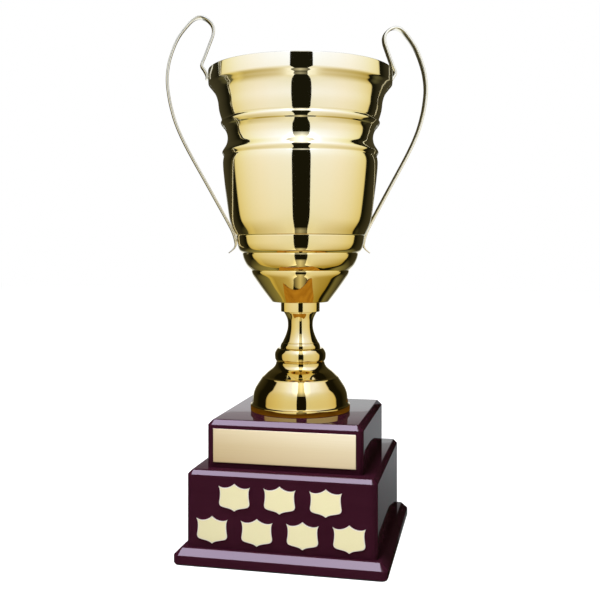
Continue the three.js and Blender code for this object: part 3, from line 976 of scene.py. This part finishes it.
def darken_corner(tree, colours, across, up):
    """Darkens a wide side panel towards its lower outer corner."""
    outside = maths(tree, "SUBTRACT", across, CORNER_ACROSS)
    under = maths(tree, "SUBTRACT", CORNER_UP, up)
    corner = maths(tree, "MULTIPLY", maths(tree, "MULTIPLY", outside, under), CORNER_RATE)
    keep = maths(tree, "SUBTRACT", 1.0, corner)
    return multiply(tree, colours, colour_stops(tree, keep, CORNER))


def shade_light(light, up, out, flip):
    """Shades an area light from its foot to its head and from its inner to its outer edge."""
    light.use_nodes = True
    tree = light.node_tree
    place = tree.nodes.new("ShaderNodeTexCoord")
    split = tree.nodes.new("ShaderNodeSeparateXYZ")
    tree.links.new(place.outputs["UV"], split.inputs["Vector"])
    across = ramp(tree, split.outputs["X"], 1, 0) if flip else split.outputs["X"]
    colours_up = colour_stops(tree, split.outputs["Y"], scaled(up))
    colours_out = colour_stops(tree, across, scaled(out))
    colours = multiply(tree, colours_up, colours_out)
    if out is PANEL_OUT:
        colours = darken_corner(tree, colours, across, split.outputs["Y"])
    tree.links.new(colours, tree.nodes["Emission"].inputs["Color"])


def area_lamp(name, place, width, height, radiance):
    """A rectangular lamp that looks down and that the camera does not see."""
    light = bpy.data.lights.new(name, "AREA")
    light.shape = "RECTANGLE"
    light.size = width
    light.size_y = height
    light.energy = radiance * math.pi * width * height
    lamp = bpy.data.objects.new(name, light)
    bpy.context.scene.collection.objects.link(lamp)
    lamp.location = place
    lamp.visible_camera = False
    return lamp


def soft_light(name, azimuth, elevation, distance, width, height, radiance, up, out):
    """A shaded panel or card that faces the lamps' aim."""
    place = toward(azimuth, elevation, distance)
    lamp = area_lamp(name, place, width, height, radiance * peak(up) * peak(out))
    shade_light(lamp.data, up, out, azimuth < 0)
    lamp.rotation_euler = (LAMPS_AIM - place).to_track_quat("-Z", "Y").to_euler()
    return lamp


def overhead_light():
    """A bright cool softbox over the front of the base, which the front chamfers mirror."""
    lamp = area_lamp("overhead", (-0.42, -0.50, 1.75), width=0.9, height=0.8, radiance=9.4)
    lamp.data.color = (0.84, 0.74, 1)
    return lamp


def glow_material():
    """A cloudy copper glow, strongest seen from straight above and clear from below."""
    material, tree, output = empty_material("glow_card")
    glow = tree.nodes.new("ShaderNodeEmission")
    cloud = noise(tree, 30, 2, 0.5, (1, 3, 1))
    vary(tree, glow, "Color", cloud, (0.25, 0.095, 0.006), (0.56, 0.28, 0.035))
    slant = tree.nodes.new("ShaderNodeLayerWeight")
    slant.inputs["Blend"].default_value = 0.5
    vary(tree, glow, "Strength", slant.outputs["Facing"], 1.25, 0.1)
    clear = tree.nodes.new("ShaderNodeBsdfTransparent")
    geometry = tree.nodes.new("ShaderNodeNewGeometry")
    mix = tree.nodes.new("ShaderNodeMixShader")
    tree.links.new(geometry.outputs["Backfacing"], mix.inputs["Fac"])
    tree.links.new(glow.outputs["Emission"], mix.inputs[1])
    tree.links.new(clear.outputs["BSDF"], mix.inputs[2])
    tree.links.new(mix.outputs["Shader"], output.inputs["Surface"])
    return material


def make_square(name, half, z, material):
    """A level square of the stage, no part of the object."""
    mesh = bpy.data.meshes.new(name)
    corners = [(-half, -half, z), (half, -half, z), (half, half, z), (-half, half, z)]
    mesh.from_pydata(corners, [], [(0, 1, 2, 3)])
    mesh.materials.append(material)
    square = bpy.data.objects.new(name, mesh)
    bpy.context.scene.collection.objects.link(square)
    return square


def make_glow_card():
    """The warm light that red lacquer and gold throw back and forth, seen by the metal above."""
    board_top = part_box("upper_top_board")[1]
    card = make_square("glow_card", board_top.x, board_top.z + STAGE_GAP, glow_material())
    card.visible_camera = False
    card.visible_diffuse = False
    card.visible_shadow = False


def link_lamp(lamp, state, pieces):
    """Lets a lamp reach only these pieces ("INCLUDE"), or everything but them ("EXCLUDE")."""
    group = bpy.data.collections.new(f"{lamp.name}_{state.lower()}")
    lamp.light_linking.receiver_collection = group
    for piece in pieces:
        group.objects.link(piece)
    for entry in group.collection_objects:
        entry.light_linking.link_state = state


def make_lights():
    """Two tall side panels, softboxes above, and a lit backdrop which the base's top mirrors."""
    lamps = {name: soft_light(name, *values) for name, values in LIGHTS.items()}
    overhead = overhead_light()
    things = [thing for thing in bpy.context.scene.objects if thing.type == "MESH"]
    lacquered = [thing for thing in things if lacquer.name in thing.data.materials]
    plates = [thing for thing in things if plate_edge.name in thing.data.materials]
    cup = [thing for thing in things if thing.name.startswith("cup_")]
    lower_cup = [thing for thing in cup if thing.name in ("cup_foot", "cup_knop", "cup_stem")]
    for side in ("left", "right"):
        unlit = plates if side == "left" else []
        link_lamp(lamps[f"{side}_panel"], "EXCLUDE", lacquered + lower_cup + unlit)
        link_lamp(lamps[f"{side}_narrow_panel"], "INCLUDE", lower_cup)
    link_lamp(overhead, "EXCLUDE", cup)
    link_lamp(lamps["front_low_card"], "INCLUDE", cup)
    link_lamp(lamps["rear_glow"], "INCLUDE", cup)
    link_lamp(lamps["plate_fill"], "INCLUDE", plates)
    make_glow_card()


GLOW_TURN = math.radians(12)  # the glow's middle stands this far to the left of straight behind
GLOW_LEVEL = (-0.80, -0.35)  # sines of the elevations between which it fades out upwards
GLOW_SIDE = (0.22, 0.34)  # cosines of the angles from its middle between which it fades in


def world_glow(tree):
    """What reflections see of the world: almost dark, with a dim glow low down behind the object."""
    place = tree.nodes.new("ShaderNodeTexCoord")
    split = tree.nodes.new("ShaderNodeSeparateXYZ")
    tree.links.new(place.outputs["Generated"], split.inputs["Vector"])
    behind = tree.nodes.new("ShaderNodeVectorMath")
    behind.operation = "DOT_PRODUCT"
    rear_left = BASE_YAW + GLOW_TURN
    behind.inputs[1].default_value = (-math.sin(rear_left), math.cos(rear_left), 0)
    tree.links.new(place.outputs["Generated"], behind.inputs[0])
    level = between(tree, split.outputs["Z"], *GLOW_LEVEL)
    side = between(tree, behind.outputs["Value"], *GLOW_SIDE)
    low_glow = ramp(tree, level, (0.30, 0.27, 0.10), (0, 0, 0))
    glow = multiply(tree, low_glow, ramp(tree, side, (0, 0, 0), (1, 1, 1)))
    return combine(tree, "ADD", glow, (0.010, 0.009, 0.004))


def make_world():
    """White behind the object for the camera; in reflections dark, with a dim glow from below."""
    world = bpy.data.worlds.new("studio")
    bpy.context.scene.world = world
    world.use_nodes = True
    tree = world.node_tree
    tree.nodes.clear()
    dark = tree.nodes.new("ShaderNodeBackground")
    tree.links.new(world_glow(tree), dark.inputs["Color"])
    white = tree.nodes.new("ShaderNodeBackground")
    white.inputs["Color"].default_value = (1, 1, 1, 1)
    path = tree.nodes.new("ShaderNodeLightPath")
    mix = tree.nodes.new("ShaderNodeMixShader")
    tree.links.new(path.outputs["Is Camera Ray"], mix.inputs["Fac"])
    tree.links.new(dark.outputs["Background"], mix.inputs[1])
    tree.links.new(white.outputs["Background"], mix.inputs[2])
    output = tree.nodes.new("ShaderNodeOutputWorld")
    tree.links.new(mix.outputs["Shader"], output.inputs["Surface"])


def make_floor():
    """A pale floor that the camera sees as white and polished pieces do not mirror."""
    material, tree, shader = new_material("studio_floor")
    shader.inputs["Base Color"].default_value = (0.5, 0.5, 0.5, 1)
    shader.inputs["Roughness"].default_value = 0.9
    shader.inputs["Specular IOR Level"].default_value = 0.0
    path = tree.nodes.new("ShaderNodeLightPath")
    shader.inputs["Emission Color"].default_value = (1, 1, 1, 1)
    tree.links.new(path.outputs["Is Camera Ray"], shader.inputs["Emission Strength"])
    floor = make_square("studio_floor", FLOOR_REACH, cad_low.z - STAGE_GAP, material)
    floor.visible_glossy = False


def make_camera():
    """A level camera at the photograph's place, which looks past the middle of the cup."""
    data = bpy.data.cameras.new("camera")
    data.sensor_width = 36
    data.lens = LENS
    data.shift_x = SHIFT_X
    data.shift_y = SHIFT_Y
    camera = bpy.data.objects.new("camera", data)
    bpy.context.scene.collection.objects.link(camera)
    camera.location = (
        CAMERA_DISTANCE * math.sin(BASE_YAW),
        -CAMERA_DISTANCE * math.cos(BASE_YAW),
        CAMERA_HEIGHT,
    )
    camera.rotation_euler = (math.pi / 2, 0, BASE_YAW)
    bpy.context.scene.camera = camera


# ---------------------------------------------------------------------------------------------

make_foot()
make_knop()
make_stem()
make_collar()
make_bowl()
make_handle("cup_handle_right", "handle_right", CUP_TURN)
make_handle("cup_handle_left", "handle_left", CUP_TURN + math.pi)
make_plinth()
make_tier("lower", "plinth_board", "lower_top_board")
make_top_board("lower_board", "lower_top_board", 4.3 * MM)
make_tier("upper", "lower_top_board", "upper_top_board")
make_top_board("upper_board", "upper_top_board", 5.1 * MM)
make_plates()
finish_cad_nodes()
make_floor()
make_lights()
make_world()
make_camera()
bpy.context.scene.view_settings.view_transform = "Standard"
